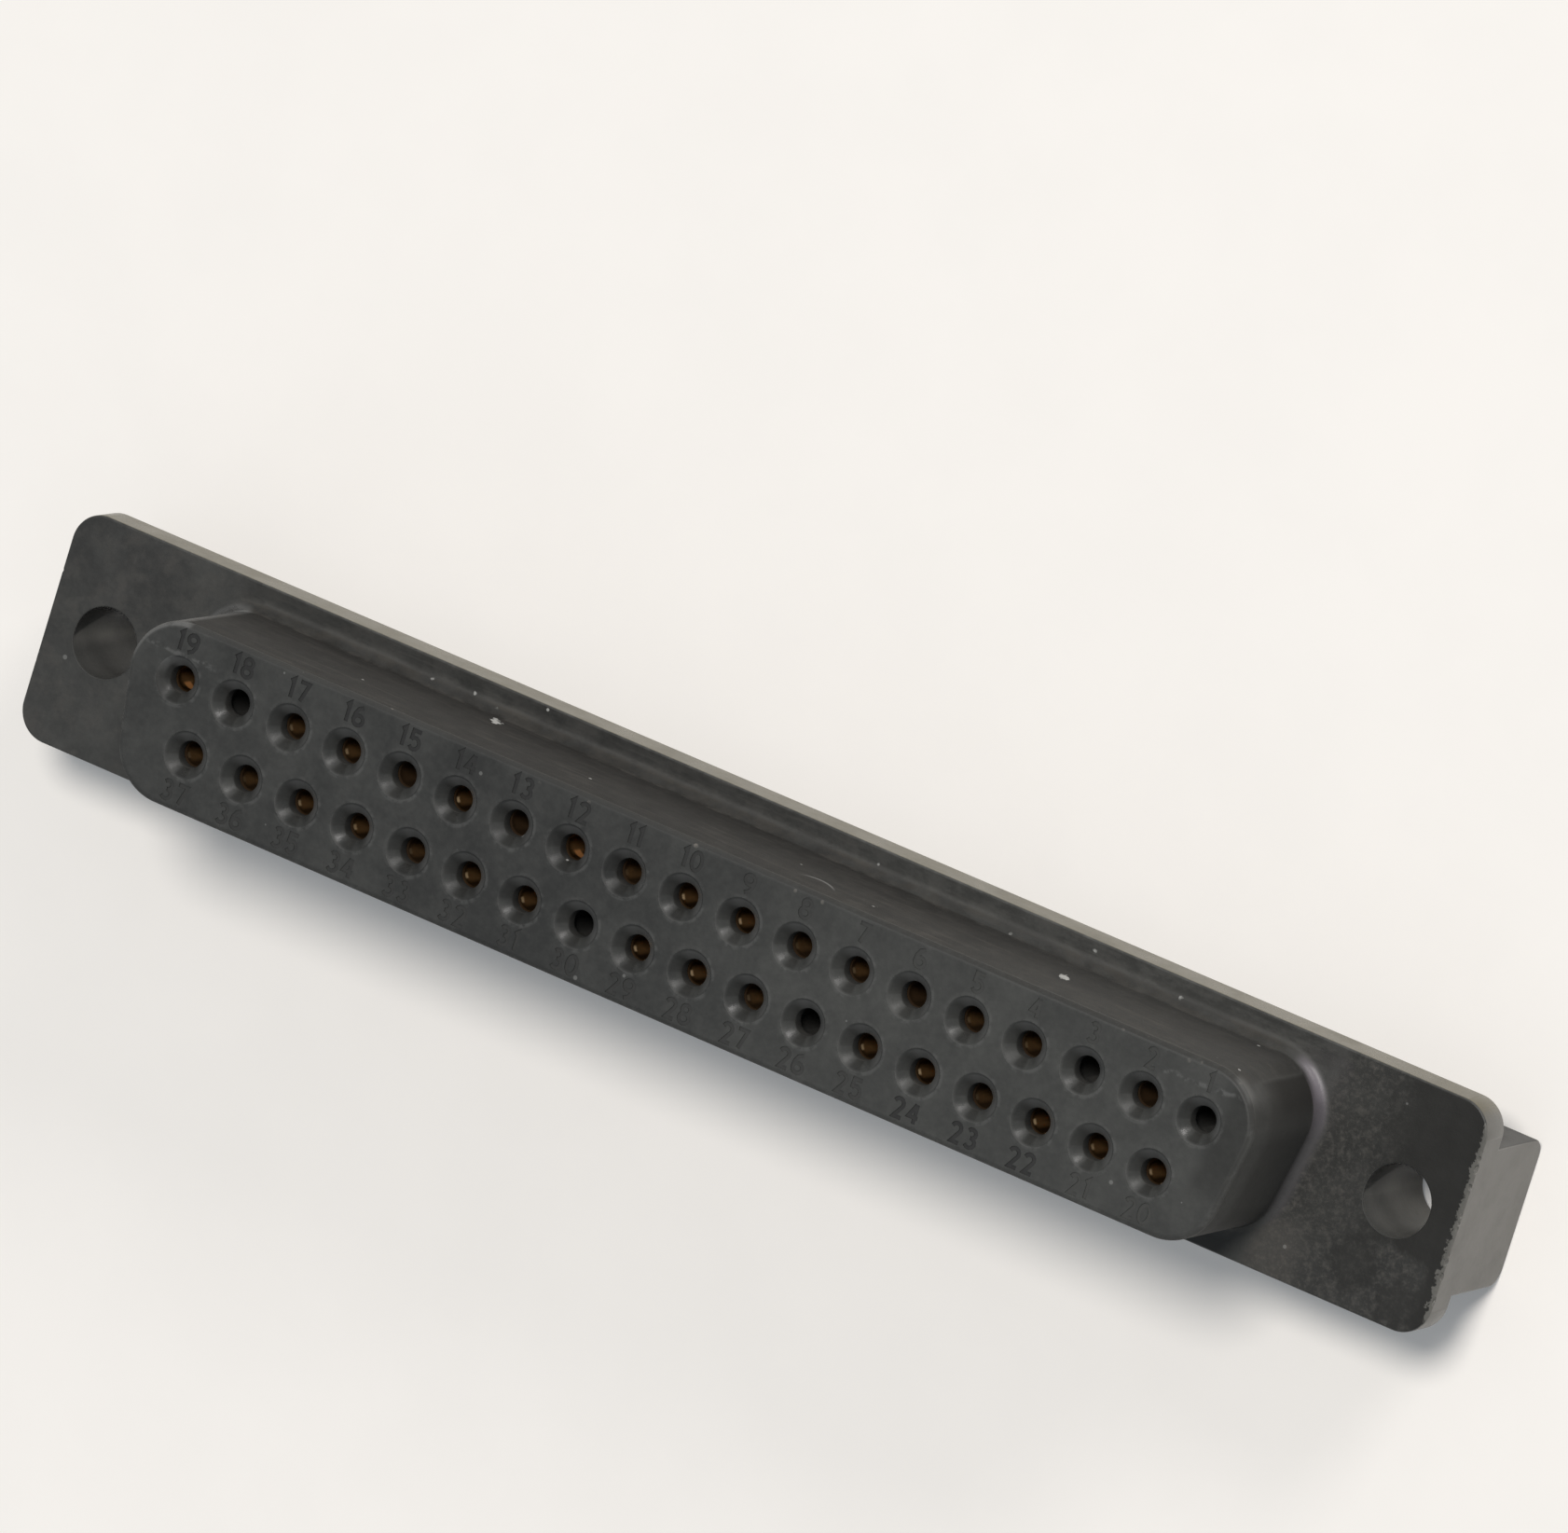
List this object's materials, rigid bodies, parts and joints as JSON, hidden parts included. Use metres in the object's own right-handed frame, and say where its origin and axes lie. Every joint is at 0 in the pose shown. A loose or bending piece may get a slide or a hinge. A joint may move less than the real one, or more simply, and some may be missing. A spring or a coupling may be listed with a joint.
{
  "type": "d-sub connector",
  "caption": "Long all-plastic D-shaped socket connector with a solid nose, a two-hole flange and removable crimp contacts.",
  "frame": {"origin": "midway between the two ear holes, on the front face of the flange", "axes": "+X along the contact rows towards cavity one, +Y towards the wide row, +Z out of the mating face"},
  "size_m": [0.0694, 0.0102, 0.0124],
  "materials": {
    "housing_plastic": "black moulded plastic, faded to dark grey, with light dust and worn edges",
    "contact_metal": "tarnished gold flash over copper alloy"
  },
  "bodies": {
    "root": {"housing": "housing_plastic", "contact_02": "contact_metal", "contact_04": "contact_metal", "contact_05": "contact_metal", "contact_06": "contact_metal", "contact_07": "contact_metal", "contact_08": "contact_metal", "contact_09": "contact_metal", "contact_10": "contact_metal", "contact_11": "contact_metal", "contact_12": "contact_metal", "contact_13": "contact_metal", "contact_14": "contact_metal", "contact_15": "contact_metal", "contact_16": "contact_metal", "contact_17": "contact_metal", "contact_19": "contact_metal", "contact_20": "contact_metal", "contact_21": "contact_metal", "contact_22": "contact_metal", "contact_23": "contact_metal", "contact_24": "contact_metal", "contact_25": "contact_metal", "contact_27": "contact_metal", "contact_28": "contact_metal", "contact_29": "contact_metal", "contact_31": "contact_metal", "contact_32": "contact_metal", "contact_33": "contact_metal", "contact_34": "contact_metal", "contact_35": "contact_metal", "contact_36": "contact_metal", "contact_37": "contact_metal"}
  },
  "joints": []
}
